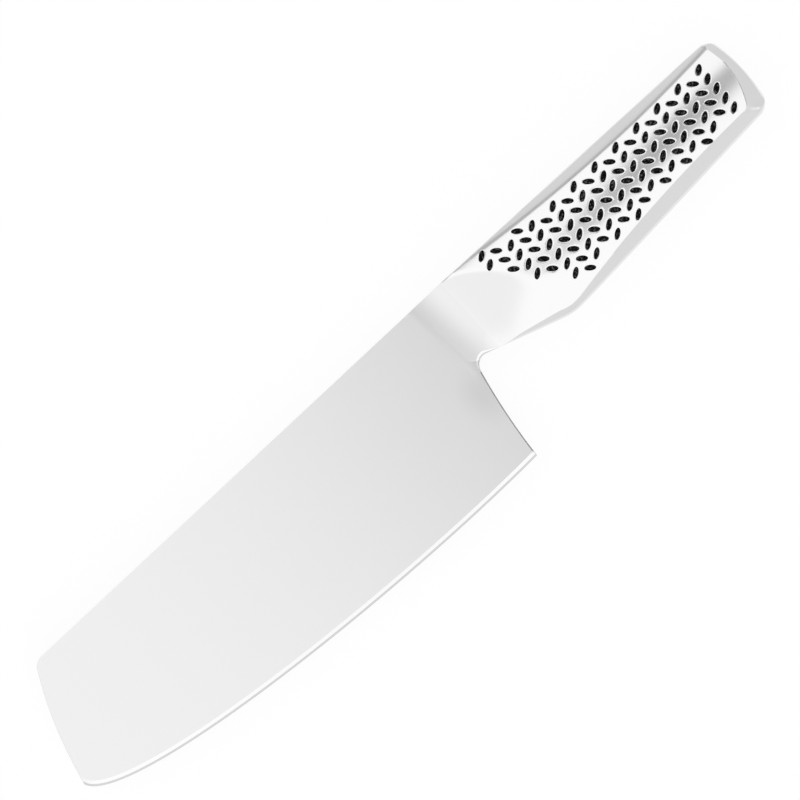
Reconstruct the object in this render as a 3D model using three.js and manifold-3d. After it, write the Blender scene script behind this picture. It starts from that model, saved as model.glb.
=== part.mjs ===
import * as THREE from 'three';
import { mergeVertices } from 'three/addons/utils/BufferGeometryUtils.js';
import Module from 'manifold-3d';

// Vegetable knife, all steel: a thin broad blade whose stub tang is welded into a hollow handle.
// The handle is two pressed half shells, welded round their seam and part filled with balancing sand.
// Sizes are millimetres. x runs from the point to the butt, y from the edge up to the spine, z from the
// right flank to the left one, and the knife lies on its right flank. Depths are measured down from the
// spine.

// Blade outline
const BLADE_LENGTH = 180;
const HEEL_DEPTH = 62.1;
const POINT_DEPTH = 39.9;
const TIP_RAKE = 15.6;
const TIP_BOW = 1.6;
const TIP_TOP_RADIUS = 4.5;
const EDGE_POINT_REACH = 6;
const EDGE_POINT_SAG = 16.5;
const EDGE_HEEL_REACH = 60;
const EDGE_HEEL_SAG = 2.4;
const HEEL_SLANT = 6.1;
const HEEL_HOLLOW = 0.6;
const NECK_DEPTH = 25.2;
const CHOIL_RADIUS = 4;

// Blade thickness
const SPINE_THICKNESS = 2.2;
const TIP_THINNING = 0.32;
const FLANK_TAPER = 0.0125;
const BEVEL_WIDTH = 1.1;
const EDGE_THICKNESS = 0.08;
const SPINE_EASE = 0.2;

// Stub tang and the welds at the neck
const TANG_LENGTH = 8;
const TANG_HEIGHT = 17;
const TANG_DROP = 5;
const TANG_RADIUS = 3;
const NECK_LENGTH = 8.9;
const NECK_WELD_LENGTH = 20;
const NECK_WELD_DEPTH = 36;

// Handle outline
const HANDLE_LENGTH = 118.8;
const SPINE_DROP = 1.25;
const SPINE_CURVE = 1.2;
const BOLSTER_FLARE = 0.335;
const BELLY_TAPER = 0.0676;
const BUTT_DEPTH = 30.6;
const BELLY_SOFTNESS = 0.6;
const BUTT_RADIUS = 68;
const BUTT_CORNER = 4.2;

// Handle thickness
const HANDLE_THICKNESS = 17.8;
const THICKEST_FROM_NOSE = 62;
const BARREL_RADIUS = 950;
const CROWN_RADIUS = 38;
const CROWN_AXIS_DEPTH = 17;
const SEAM_LAND = 1.4;
const NOSE_LAND = 0.7;
const LAND_TAPER = 30;
const SPINE_RIM_RISE = 1.8;
const SPINE_NOSE_RISE = 2.4;
const SPINE_RIM_TAPER = 80;
const SPINE_RIM_SLOPE = 0.91;
const SPINE_RIM_ROUND = 0.5;
const BELLY_RIM_RISE = 0.6;
const BELLY_RIM_SLOPE = 0.93;
const BELLY_RIM_ROUND = 1.4;
const BUTT_RIM_RISE = 3.6;
const BUTT_RIM_LEAST_RISE = 0.3;
const BUTT_RIM_SLOPE = 0.6;
const BUTT_RIM_ROUND = 0.8;
const BUTT_DOME_RADIUS = 26;
const BUTT_DOME_DEPTH = 14;
const SCOOP_LEAD = 3;
const SCOOP_RADIUS = 60;
const SCOOP_ANGLE = THREE.MathUtils.degToRad(18.5);
const SCOOP_SLANT = -0.05;
const FACET_FOOT = 1;
const FACET_CLIMB = 0.085;
const FACET_SLOPE = 0.3;
const CREASE_SOFTNESS = 0.15;
const WALL = 1;
const INNER_LAND = 0.4;
const NOSE_LENGTH = 9;

// Grip dents: ovals in crosswise columns that lean to and fro like a herringbone
const DENT_LENGTH = 4;
const DENT_WIDTH = 1.9;
const DENT_DEPTH = 0.5;
const DENT_LEAN = THREE.MathUtils.degToRad(40);
const DENT_COLUMN_PITCH = 4.6;
const DENT_ROW_PITCH = 4.2;
const DENT_FIELD_START = 11;
const DENT_FIELD_END = 8;
const DENT_RIM_MARGIN = 0.9;
const DENT_CREASE_MARGIN = 0.5;

// Seam welds, sand and clearances
const SEAM_WELD_WIDTH = 1;
const SEAM_WELD_DEPTH = 0.6;
const SAND_LEVEL = 1;
const SAND_CLEARANCE = 0.4;
const FIT_GAP = 0.05;
const CUT_MARGIN = 1;

// Tolerances of the modelling itself
const SURFACE_STEP = 0.1;
const SHORTEST_SIDE = 0.02;
const STRAIGHT_TURN = 1e-6;
const MERGE_DISTANCE = 1e-5;

// Facet counts
const OUTLINE_DIVISIONS = 6;
const EDGE_DIVISIONS = 40;
const ROWS_ROUND_BUTT = 5;
const OUTER_ROWS = 22;
const OUTER_COLUMNS = 18;
const INNER_ROWS = 14;
const INNER_COLUMNS = 14;
const NECK_WELD_ROWS = 12;
const NECK_WELD_COLUMNS = 20;
const DENT_SIDES = 8;

// Places along the knife that several pieces share
const CHOIL_X = BLADE_LENGTH + HEEL_SLANT;
const NOSE_X = CHOIL_X + NECK_LENGTH;
const BUTT_X = NOSE_X + HANDLE_LENGTH;
const SHOULDER_X = NOSE_X - FIT_GAP;
const NECK_WELD_X = SHOULDER_X - NECK_WELD_LENGTH;
const HEEL_LEAN = HEEL_SLANT / (HEEL_DEPTH - NECK_DEPTH);
const CHOIL_ANGLE = Math.PI / 2 + Math.atan(HEEL_LEAN) - Math.atan(BOLSTER_FLARE);
const CHOIL_SOFTNESS = CHOIL_RADIUS * (1 - Math.sin(CHOIL_ANGLE / 2));

const wasm = await Module();
wasm.setup();

// Lower of two heights, with the corner between them rounded by a small softness
function softMin(a, b, softness) {
  return (a + b) / 2 - Math.hypot((a - b) / 2, softness);
}

function softMax(a, b, softness) {
  return -softMin(-a, -b, softness);
}

// How far a round corner of a given radius has fallen away at a distance from the face that it ends on
function roundDrop(distance, radius) {
  return distance >= radius ? 0 : radius - Math.sqrt(radius ** 2 - (radius - distance) ** 2);
}

// Share of its full height that a pressed rim has reached at a distance inside the outline
function rimRise(distance, width) {
  return distance >= width ? 1 : Math.sqrt(1 - (1 - Math.max(0, distance) / width) ** 2);
}

// Half thickness of the blade: a flat flank that thins towards the edge and towards the tip
function bladeHalf(x, y) {
  return SPINE_THICKNESS / 2 + (TIP_THINNING * (x - CHOIL_X)) / BLADE_LENGTH + FLANK_TAPER * y;
}

// Top and bottom lines of the handle
function spineY(x) {
  return -SPINE_DROP * Math.max(0, (x - NOSE_X) / HANDLE_LENGTH) ** SPINE_CURVE;
}

function bolsterY(x) {
  return -NECK_DEPTH - BOLSTER_FLARE * (x - CHOIL_X);
}

function bellyY(x) {
  const belly = BUTT_DEPTH + BELLY_TAPER * (BUTT_X - x);
  return -softMin(-bolsterY(x), belly, BELLY_SOFTNESS);
}

// Distance inside the lower outline, which turns at the choil from the bolster down to the heel
function fromBelow(x, y, bottom) {
  const heelX = CHOIL_X + HEEL_LEAN * (y + NECK_DEPTH);
  return softMax(y - bottom, heelX - x, CHOIL_SOFTNESS);
}

// Scoop of the neck: a concave fillet off the blade's flank that runs on as a straight ramp
function scoopHalf(x, y) {
  const slant = SCOOP_SLANT * (-y - NECK_DEPTH / 2);
  const reach = Math.max(0, x - CHOIL_X + SCOOP_LEAD + slant);
  const bend = SCOOP_RADIUS * Math.sin(SCOOP_ANGLE);
  const arc = SCOOP_RADIUS - Math.sqrt(SCOOP_RADIUS ** 2 - Math.min(reach, bend) ** 2);
  return bladeHalf(x, y) + arc + Math.max(0, reach - bend) * Math.tan(SCOOP_ANGLE);
}

// Facet under the scoop: rises off the flared underside of the bolster, whose foot climbs from the choil
function facetHalf(x, y) {
  const distance = (y - bolsterY(x)) / Math.hypot(1, BOLSTER_FLARE);
  return FACET_FOOT + FACET_CLIMB * (x - CHOIL_X) + FACET_SLOPE * distance;
}

// Neck between blade and crown: the scoop and the facet, with a soft crease where they meet
function neckHalf(x, y) {
  return softMin(scoopHalf(x, y), facetHalf(x, y), CREASE_SOFTNESS);
}

// Crown of the handle: barrel shaped along its length, an arc across it
function crownHalf(x, y) {
  const fromThickest = x - NOSE_X - THICKEST_FROM_NOSE;
  const top = HANDLE_THICKNESS / 2 - fromThickest ** 2 / (2 * BARREL_RADIUS);
  return top - CROWN_RADIUS + Math.sqrt(CROWN_RADIUS ** 2 - (y + CROWN_AXIS_DEPTH) ** 2);
}

// Rim along the spine, which stands higher towards the nose
function spineRim(x) {
  const share = THREE.MathUtils.clamp((x - NOSE_X) / SPINE_RIM_TAPER, 0, 1);
  const rise = THREE.MathUtils.lerp(SPINE_NOSE_RISE, SPINE_RIM_RISE, share);
  return { land: SEAM_LAND, rise, slope: SPINE_RIM_SLOPE, round: SPINE_RIM_ROUND };
}

// Rim along the bolster and the belly, whose land at the seam narrows towards the nose
function bellyRim(x) {
  const share = THREE.MathUtils.clamp((x - NOSE_X) / LAND_TAPER, 0, 1);
  const land = THREE.MathUtils.lerp(NOSE_LAND, SEAM_LAND, share);
  return { land, rise: BELLY_RIM_RISE, slope: BELLY_RIM_SLOPE, round: BELLY_RIM_ROUND };
}

// Rim round the butt, domed from the spine to the belly
function buttRim(y) {
  const dome = BUTT_RIM_RISE - (y + BUTT_DOME_DEPTH) ** 2 / (2 * BUTT_DOME_RADIUS);
  const rise = softMax(dome, BUTT_RIM_LEAST_RISE, CREASE_SOFTNESS);
  return { land: SEAM_LAND, rise, slope: BUTT_RIM_SLOPE, round: BUTT_RIM_ROUND };
}

// Height of a rim at a distance inside the outline: a rounded edge off the land, then a slope
function rimHalf(distance, rim, inset) {
  const land = inset > 0 ? INNER_LAND : rim.land;
  const wall = inset * Math.hypot(1, rim.slope);
  const slope = rim.land + rim.rise + rim.slope * (distance + inset) - wall;
  return land + (slope - land) * rimRise(distance, rim.round);
}

// Half thickness of the handle at a spot, or of a hollow that lies a given inset below its surface
function handleHalf(spot, inset) {
  const body = softMin(neckHalf(spot.x, spot.y), crownHalf(spot.x, spot.y), CREASE_SOFTNESS) - inset;
  const atSpine = rimHalf(spot.fromSpine, spineRim(spot.x), inset);
  const atBelly = rimHalf(spot.fromBelly, bellyRim(spot.x), inset);
  const atButt = rimHalf(spot.fromButt, buttRim(spot.y), inset);
  return Math.min(body, atSpine, atBelly, atButt);
}

// Spot of the handle in plan, at a share from -1 to 1 of the way across its outline
function handleSpot(nominalX, share, inset, bulge) {
  const corner = Math.max(BUTT_CORNER - inset, INNER_LAND);
  const fromButt = BUTT_X - inset - nominalX;
  const drop = inset + roundDrop(fromButt, corner);
  const top = spineY(nominalX) - drop;
  const bottom = bellyY(nominalX) + drop;
  const y = (top + bottom + share * (top - bottom)) / 2;
  const middle = (spineY(BUTT_X) + bellyY(BUTT_X)) / 2;
  const x = nominalX - (bulge * (y - middle) ** 2) / (2 * BUTT_RADIUS);
  return { x, y, fromSpine: top - y, fromBelly: fromBelow(x, y, bottom), fromButt };
}

// Row of spots across the handle, crowded towards its rims
function handleRow(nominalX, inset, bulge, columns) {
  const spots = [];
  for (let j = 0; j <= columns; j++) {
    spots.push(handleSpot(nominalX, Math.cos((Math.PI * j) / columns), inset, bulge));
  }
  return spots;
}

// Rows that cover the handle from a start to the butt, crowded at the butt's rounded corners
function handleRows(startX, inset, count, columns) {
  const corner = Math.max(BUTT_CORNER - inset, INNER_LAND);
  const cornerX = BUTT_X - inset - corner;
  const rows = [];
  for (let i = 0; i < count; i++) {
    rows.push(handleRow(THREE.MathUtils.lerp(startX, cornerX, i / count), inset, i / count, columns));
  }
  for (let i = 0; i <= ROWS_ROUND_BUTT; i++) {
    const nominalX = cornerX + corner * Math.sin((Math.PI / 2) * (i / ROWS_ROUND_BUTT));
    rows.push(handleRow(nominalX, inset, 1, columns));
  }
  return rows;
}

// Geometry from points and triangles, turned right side out
function closedGeometry(points, triangles) {
  let volume = 0;
  for (const [a, b, c] of triangles) {
    volume += points[a].dot(points[b].clone().cross(points[c]));
  }
  const outward = volume > 0 ? triangles : triangles.map(([a, b, c]) => [a, c, b]);
  const geometry = new THREE.BufferGeometry().setFromPoints(points);
  geometry.setIndex(outward.flat());
  return geometry;
}

// Triangles that close a ring by going to and fro between its two long sides
function zigzagCap(count) {
  const triangles = [];
  let low = 0;
  let high = count - 1;
  while (high - low > 1) {
    triangles.push([low, low + 1, high]);
    low += 1;
    if (high - low > 1) {
      triangles.push([low, high - 1, high]);
      high -= 1;
    }
  }
  return triangles;
}

// Closed skin over a row of rings, with the same cap on the first ring and the last
function loft(rings, cap) {
  const count = rings[0].length;
  const last = (rings.length - 1) * count;
  const triangles = cap.map(([a, b, c]) => [c, b, a]);
  for (let i = 0; i < rings.length - 1; i++) {
    for (let k = 0; k < count; k++) {
      const a = i * count + k;
      const b = i * count + ((k + 1) % count);
      triangles.push([a, b, b + count], [a, b + count, a + count]);
    }
  }
  for (const [a, b, c] of cap) {
    triangles.push([a + last, b + last, c + last]);
  }
  return closedGeometry(rings.flat(), triangles);
}

// Closed body between an upper and a lower height over rows of spots
function slab(rows, upper, lower) {
  const rings = rows.map((row) => {
    const above = row.map((spot) => new THREE.Vector3(spot.x, spot.y, upper(spot)));
    const below = row.map((spot) => new THREE.Vector3(spot.x, spot.y, lower(spot)));
    return [...above, ...below.reverse()];
  });
  return loft(rings, zigzagCap(rings[0].length));
}

function toSolid(geometry) {
  const bare = geometry.clone();
  bare.deleteAttribute('normal');
  bare.deleteAttribute('uv');
  const merged = mergeVertices(bare, MERGE_DISTANCE);
  const vertProperties = new Float32Array(merged.attributes.position.array);
  const triVerts = new Uint32Array(merged.index.array);
  return new wasm.Manifold(new wasm.Mesh({ numProp: 3, vertProperties, triVerts }));
}

function toGeometry(solid) {
  const mesh = solid.getMesh();
  const geometry = new THREE.BufferGeometry();
  geometry.setAttribute('position', new THREE.BufferAttribute(new Float32Array(mesh.vertProperties), 3));
  geometry.setIndex(new THREE.BufferAttribute(new Uint32Array(mesh.triVerts), 1));
  return geometry;
}

// Arc that rounds the corner between two straight sides
function cornerArc(from, corner, to, radius) {
  const back = from.clone().sub(corner).normalize();
  const onward = to.clone().sub(corner).normalize();
  const halfAngle = Math.acos(back.dot(onward)) / 2;
  const inward = back.clone().add(onward).normalize();
  const centre = corner.clone().addScaledVector(inward, radius / Math.sin(halfAngle));
  const start = corner.clone().addScaledVector(back, radius / Math.tan(halfAngle));
  const end = corner.clone().addScaledVector(onward, radius / Math.tan(halfAngle));
  return { centre, radius, start, end, clockwise: back.cross(onward) > 0 };
}

function addArc(path, arc) {
  const from = arc.start.clone().sub(arc.centre).angle();
  const to = arc.end.clone().sub(arc.centre).angle();
  path.absarc(arc.centre.x, arc.centre.y, arc.radius, from, to, arc.clockwise);
}

// Handle of a shallow curve that bows sideways off the chord between two points, to the chord's right
function bowHandle(from, to, bow) {
  const right = new THREE.Vector2(to.y - from.y, from.x - to.x).normalize();
  return from.clone().add(to).multiplyScalar(0.5).addScaledVector(right, 2 * bow);
}

// Blade outline in two runs: the blunt sides from the heel round the tang and the spine to the point,
// and the cutting edge from the point back to the heel
function bladeRuns() {
  const heel = new THREE.Vector2(BLADE_LENGTH, -HEEL_DEPTH);
  const choil = new THREE.Vector2(CHOIL_X, -NECK_DEPTH);
  const neck = new THREE.Vector2(SHOULDER_X, bellyY(SHOULDER_X));
  const tangLow = new THREE.Vector2(SHOULDER_X, -TANG_DROP - TANG_HEIGHT);
  const tangLowEnd = new THREE.Vector2(NOSE_X + TANG_LENGTH, tangLow.y);
  const tangHighEnd = new THREE.Vector2(tangLowEnd.x, -TANG_DROP);
  const tangHigh = new THREE.Vector2(SHOULDER_X, -TANG_DROP);
  const spine = new THREE.Vector2(SHOULDER_X, 0);
  const groundEnd = new THREE.Vector2(NECK_WELD_X, 0);
  const tipTop = new THREE.Vector2(TIP_RAKE, 0);
  const point = new THREE.Vector2(0, -POINT_DEPTH);
  const choilArc = cornerArc(heel, choil, neck, CHOIL_RADIUS);
  const heelHandle = bowHandle(heel, choilArc.start, -HEEL_HOLLOW);
  const tipHandle = bowHandle(tipTop, point, TIP_BOW);

  const blunt = new THREE.Path();
  blunt.moveTo(heel.x, heel.y);
  blunt.quadraticCurveTo(heelHandle.x, heelHandle.y, choilArc.start.x, choilArc.start.y);
  addArc(blunt, choilArc);
  blunt.lineTo(neck.x, neck.y);
  blunt.lineTo(tangLow.x, tangLow.y);
  addArc(blunt, cornerArc(tangLow, tangLowEnd, tangHighEnd, TANG_RADIUS));
  addArc(blunt, cornerArc(tangLowEnd, tangHighEnd, tangHigh, TANG_RADIUS));
  blunt.lineTo(tangHigh.x, tangHigh.y);
  blunt.lineTo(spine.x, spine.y);
  blunt.lineTo(groundEnd.x, groundEnd.y);
  addArc(blunt, cornerArc(groundEnd, tipTop, tipHandle, TIP_TOP_RADIUS));
  blunt.quadraticCurveTo(tipHandle.x, tipHandle.y, point.x, point.y);

  const edge = new THREE.Path();
  edge.moveTo(point.x, point.y);
  const pointHandle = new THREE.Vector2(EDGE_POINT_REACH, -POINT_DEPTH - EDGE_POINT_SAG);
  const heelReach = new THREE.Vector2(BLADE_LENGTH - EDGE_HEEL_REACH, -HEEL_DEPTH - EDGE_HEEL_SAG);
  edge.bezierCurveTo(pointHandle.x, pointHandle.y, heelReach.x, heelReach.y, heel.x, heel.y);
  return { blunt: blunt.getPoints(OUTLINE_DIVISIONS), edge: edge.getPoints(EDGE_DIVISIONS) };
}

// Outline corners, each with whether the side that starts there is the cutting edge
function bladeCorners() {
  const { blunt, edge } = bladeRuns();
  const corners = [];
  for (const [run, sharp] of [[blunt, false], [edge, true]]) {
    for (const place of run.slice(0, -1)) {
      const previous = corners.at(-1);
      if (!previous || previous.place.distanceTo(place) > SHORTEST_SIDE) {
        corners.push({ place, sharp });
      }
    }
  }
  return corners;
}

// Outline moved inwards, each side by its own distance, with the sides joined again at the corners
function insetCorners(corners) {
  return corners.map((corner, i) => {
    const previous = corners.at(i - 1);
    const next = corners[(i + 1) % corners.length];
    const before = corner.place.clone().sub(previous.place).normalize();
    const after = next.place.clone().sub(corner.place).normalize();
    const turn = before.cross(after);
    const widthBefore = previous.sharp ? BEVEL_WIDTH : SPINE_EASE;
    const widthAfter = corner.sharp ? BEVEL_WIDTH : SPINE_EASE;
    if (Math.abs(turn) < STRAIGHT_TURN) {
      return corner.place.clone().add(new THREE.Vector2(-after.y, after.x).multiplyScalar(widthAfter));
    }
    const shift = after.clone().multiplyScalar(widthBefore).addScaledVector(before, -widthAfter);
    return corner.place.clone().addScaledVector(shift, 1 / turn);
  });
}

// Triangles of a flank in two parts: the ground in front of the neck welds, and the neck with its tang
function flankCap(corners, flank) {
  const fromSplit = corners.map(({ place }) => Math.abs(place.x - NECK_WELD_X));
  const nearest = (sharp) => {
    const ranked = corners.map((corner, i) => i).filter((i) => corners[i].sharp === sharp);
    return ranked.reduce((best, i) => (fromSplit[i] < fromSplit[best] ? i : best));
  };
  const top = nearest(false);
  const bottom = nearest(true);
  const order = corners.map((corner, i) => i);
  const parts = [order.slice(top, bottom + 1), [...order.slice(bottom), ...order.slice(0, top + 1)]];
  return parts.flatMap((part) => {
    const triangles = THREE.ShapeUtils.triangulateShape(part.map((i) => flank[i]), []);
    return triangles.map((triangle) => triangle.map((i) => part[i]));
  });
}

// Ground blade: flat flanks, edge bevels, eased back and the stub tang, skinned over four level outlines
function bladeGeometry() {
  const corners = bladeCorners();
  const flank = insetCorners(corners);
  const flankRing = flank.map((p) => new THREE.Vector3(p.x, p.y, bladeHalf(p.x, p.y)));
  const rimRing = corners.map(({ place, sharp }, i) => {
    const onEdge = sharp || corners.at(i - 1).sharp;
    const half = onEdge ? EDGE_THICKNESS / 2 : bladeHalf(place.x, place.y) - SPINE_EASE;
    return new THREE.Vector3(place.x, place.y, half);
  });
  const mirrored = (ring) => ring.map((p) => new THREE.Vector3(p.x, p.y, -p.z));
  const cap = flankCap(corners, flank);
  return loft([flankRing, rimRing, mirrored(rimRing), mirrored(flankRing)], cap);
}

// Pocket in a half shell for the tang, with the fit gap all round
function tangPocket() {
  const low = -TANG_DROP - TANG_HEIGHT - FIT_GAP;
  const high = -TANG_DROP + FIT_GAP;
  const ends = [NOSE_X - CUT_MARGIN, NOSE_X + TANG_LENGTH + FIT_GAP];
  const rows = ends.map((x) => [{ x, y: high }, { x, y: low }]);
  return slab(rows, (spot) => bladeHalf(spot.x, spot.y) + FIT_GAP, () => -CUT_MARGIN);
}

// Seam line of the handle in three runs: along the spine, round the butt and back along the belly
function seamRuns() {
  const rows = handleRows(NOSE_X, 0, OUTER_ROWS, OUTER_COLUMNS);
  const straight = rows.slice(0, OUTER_ROWS + 1);
  const round = rows.slice(OUTER_ROWS, -1);
  const spine = straight.map((row) => row[0]);
  const belly = straight.map((row) => row.at(-1)).reverse();
  const butt = [...round.map((row) => row[0]), ...rows.at(-1), ...round.map((row) => row.at(-1)).reverse()];
  return { spine, butt, belly };
}

// Bar of a given section swept along a stretch of the seam, its section given as inward depth and height
function seamBar(spots, section) {
  const places = spots.map((spot) => new THREE.Vector2(spot.x, spot.y));
  const rings = places.map((place, i) => {
    const ahead = places[Math.min(i + 1, places.length - 1)];
    const behind = places[Math.max(i - 1, 0)];
    const along = ahead.clone().sub(behind).normalize();
    const inward = new THREE.Vector2(along.y, -along.x);
    return section.map(([depth, height]) => {
      const at = place.clone().addScaledVector(inward, depth);
      return new THREE.Vector3(at.x, at.y, height);
    });
  });
  return loft(rings, zigzagCap(section.length));
}

// Weld run in the seam: a wedge whose wide face is ground flush with the handle, short of the next run
function seamWeld(spots) {
  const half = SEAM_WELD_WIDTH / 2;
  const places = spots.map((spot) => new THREE.Vector2(spot.x, spot.y));
  const first = places[1].clone().sub(places[0]).setLength(FIT_GAP);
  const last = places.at(-2).clone().sub(places.at(-1)).setLength(FIT_GAP);
  places[0].add(first);
  places.at(-1).add(last);
  return seamBar(places, [[0, half], [SEAM_WELD_DEPTH, 0], [0, -half]]);
}

// Groove that the weld runs lie in, cut right through to the outside
function seamGroove() {
  const { spine, butt, belly } = seamRuns();
  const half = SEAM_WELD_WIDTH / 2 + FIT_GAP;
  const root = SEAM_WELD_DEPTH + 2 * FIT_GAP;
  const section = [[-CUT_MARGIN, half], [0, half], [root, 0], [0, -half], [-CUT_MARGIN, -half]];
  const startX = NOSE_X - CUT_MARGIN;
  const start = { x: startX, y: spineY(startX) };
  const finish = { x: startX, y: bellyY(startX) };
  return seamBar([start, ...spine, ...butt.slice(1), ...belly.slice(1), finish], section);
}

// Depth on the crown at a distance from its axis line, measured along the curved surface
function crownY(distance) {
  return -CROWN_AXIS_DEPTH + CROWN_RADIUS * Math.sin(distance / CROWN_RADIUS);
}

// Spots of the grip dents on one flank: only on the crown, clear of the scoop, the facet and the rims
function dentSpots() {
  const spots = [];
  const lastX = BUTT_X - DENT_FIELD_END;
  for (let column = 0, x = NOSE_X + DENT_FIELD_START; x <= lastX; column++, x += DENT_COLUMN_PITCH) {
    const rowsEachWay = Math.ceil((spineY(x) - bellyY(x)) / DENT_ROW_PITCH);
    const odd = column % 2;
    for (let row = -rowsEachWay; row <= rowsEachWay; row++) {
      const y = crownY((row + odd / 2) * DENT_ROW_PITCH);
      const crown = crownHalf(x, y);
      const atSpine = rimHalf(spineY(x) - y, spineRim(x), 0) - crown;
      const atBelly = rimHalf(y - bellyY(x), bellyRim(x), 0) - crown;
      const inside = y < spineY(x) && y > bellyY(x);
      const clear = Math.min(atSpine, atBelly) > DENT_RIM_MARGIN;
      if (inside && clear && neckHalf(x, y) - crown > DENT_CREASE_MARGIN) {
        spots.push({ x, y, lean: odd ? DENT_LEAN : -DENT_LEAN });
      }
    }
  }
  return spots;
}

// Pointed oval cutter for one dent, its axis square to the flank and its long axis leaning off x
function dentCutter(spot) {
  const { x, y } = spot;
  const half = crownHalf(x, y);
  const riseX = crownHalf(x + SURFACE_STEP, y) - half;
  const riseY = crownHalf(x, y + SURFACE_STEP) - half;
  const out = new THREE.Vector3(-riseX, -riseY, SURFACE_STEP).normalize();
  const across = new THREE.Vector3(0, 1, 0).addScaledVector(out, -out.y).normalize();
  const along = across.clone().cross(out);
  const long = along.multiplyScalar(Math.cos(spot.lean)).addScaledVector(across, Math.sin(spot.lean));
  const down = out.clone().negate();
  const wide = long.clone().cross(down);
  const tall = DENT_DEPTH + CUT_MARGIN;
  const grow = tall / DENT_DEPTH;
  const seat = new THREE.Vector3(x, y, half).addScaledVector(out, tall / 2 - DENT_DEPTH);
  const cutter = new THREE.ConeGeometry(1, tall, DENT_SIDES);
  cutter.scale((DENT_LENGTH / 2) * grow, 1, (DENT_WIDTH / 2) * grow);
  cutter.applyMatrix4(new THREE.Matrix4().makeBasis(long, down, wide).setPosition(seat));
  return cutter;
}

// Left half shell: the outer form less the hollow, the tang's pocket, the seam groove and the dents
function shellGeometry() {
  const outerRows = handleRows(NOSE_X, 0, OUTER_ROWS, OUTER_COLUMNS);
  const outer = slab(outerRows, (spot) => handleHalf(spot, 0), () => FIT_GAP / 2);
  const hollowRows = handleRows(NOSE_X + NOSE_LENGTH, WALL, INNER_ROWS, INNER_COLUMNS);
  const hollow = slab(hollowRows, (spot) => handleHalf(spot, WALL), () => -CUT_MARGIN);
  let shell = toSolid(outer);
  for (const tool of [hollow, tangPocket(), seamGroove()]) {
    shell = shell.subtract(toSolid(tool));
  }
  for (const spot of dentSpots()) {
    shell = shell.subtract(toSolid(dentCutter(spot)));
  }
  return toGeometry(shell);
}

// Left neck weld: ground to the scoop from a feather edge on the blade's flank back to the nose of the shell,
// and trimmed to the blade's outline along the spine, the choil and the bolster
function neckWeldGeometry() {
  const rows = [];
  for (let i = 0; i <= NECK_WELD_ROWS; i++) {
    const x = THREE.MathUtils.lerp(NECK_WELD_X, SHOULDER_X, i / NECK_WELD_ROWS);
    const row = [];
    for (let j = 0; j <= NECK_WELD_COLUMNS; j++) {
      const y = THREE.MathUtils.lerp(CUT_MARGIN, -NECK_WELD_DEPTH, j / NECK_WELD_COLUMNS);
      const fromBelly = fromBelow(x, y, bellyY(x));
      row.push({ x, y, fromSpine: spineY(x) - y, fromBelly, fromButt: BUTT_X - x });
    }
    rows.push(row);
  }
  const ground = slab(rows, (spot) => Math.max(handleHalf(spot, 0), 0), () => -CUT_MARGIN);
  const ends = [NECK_WELD_X - CUT_MARGIN, SHOULDER_X + CUT_MARGIN];
  const underRows = ends.map((x) => [{ x, y: 2 * CUT_MARGIN }, { x, y: -NECK_WELD_DEPTH - CUT_MARGIN }]);
  const under = slab(underRows, (spot) => bladeHalf(spot.x, spot.y) + FIT_GAP, () => -2 * CUT_MARGIN);
  const outline = bladeCorners().map(({ place }) => place);
  const levels = [-3 * CUT_MARGIN, HANDLE_THICKNESS];
  const rings = levels.map((level) => outline.map((place) => new THREE.Vector3(place.x, place.y, level)));
  const prism = loft(rings, THREE.ShapeUtils.triangulateShape(outline, []));
  return toGeometry(toSolid(ground).subtract(toSolid(under)).intersect(toSolid(prism)));
}

// Loose sand, settled level in the hollow with the knife on its right flank
function sandGeometry() {
  const inset = WALL + SAND_CLEARANCE;
  const rows = handleRows(NOSE_X + NOSE_LENGTH + SAND_CLEARANCE, inset, INNER_ROWS, INNER_COLUMNS);
  const depth = (spot) => handleHalf(spot, inset);
  return slab(rows, (spot) => Math.min(SAND_LEVEL, depth(spot)), (spot) => -depth(spot));
}

const bladeSteel = { color: 0xd6d8da, roughness: 0.36, metalness: 1 };
const shellSteel = { color: 0xe2e3e4, roughness: 0.22, metalness: 1 };
const weldSteel = { color: 0xdadada, roughness: 0.28, metalness: 1 };
const drySand = { color: 0xc9b58c, roughness: 1, metalness: 0 };

const knife = new THREE.Group();

function addPiece(name, geometry, finish) {
  const piece = new THREE.Mesh(geometry, new THREE.MeshStandardMaterial(finish));
  piece.name = name;
  knife.add(piece);
  return piece;
}

const shell = shellGeometry();
const neckWeld = neckWeldGeometry();
const seams = seamRuns();
addPiece('blade', bladeGeometry(), bladeSteel);
addPiece('handle_shell_left', shell, shellSteel);
addPiece('handle_shell_right', shell, shellSteel).scale.z = -1;
addPiece('spine_seam_weld', seamWeld(seams.spine), weldSteel);
addPiece('butt_seam_weld', seamWeld(seams.butt), weldSteel);
addPiece('belly_seam_weld', seamWeld(seams.belly), weldSteel);
addPiece('neck_weld_left', neckWeld, weldSteel);
addPiece('neck_weld_right', neckWeld, weldSteel).scale.z = -1;
addPiece('sand_charge', sandGeometry(), drySand);

// The origin is under the middle of the knife, on the surface that it lies on
const box = new THREE.Box3().setFromObject(knife);
const middle = box.getCenter(new THREE.Vector3());
knife.position.set(-middle.x, -middle.y, -box.min.z);

export default knife;
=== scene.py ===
import math

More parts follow.
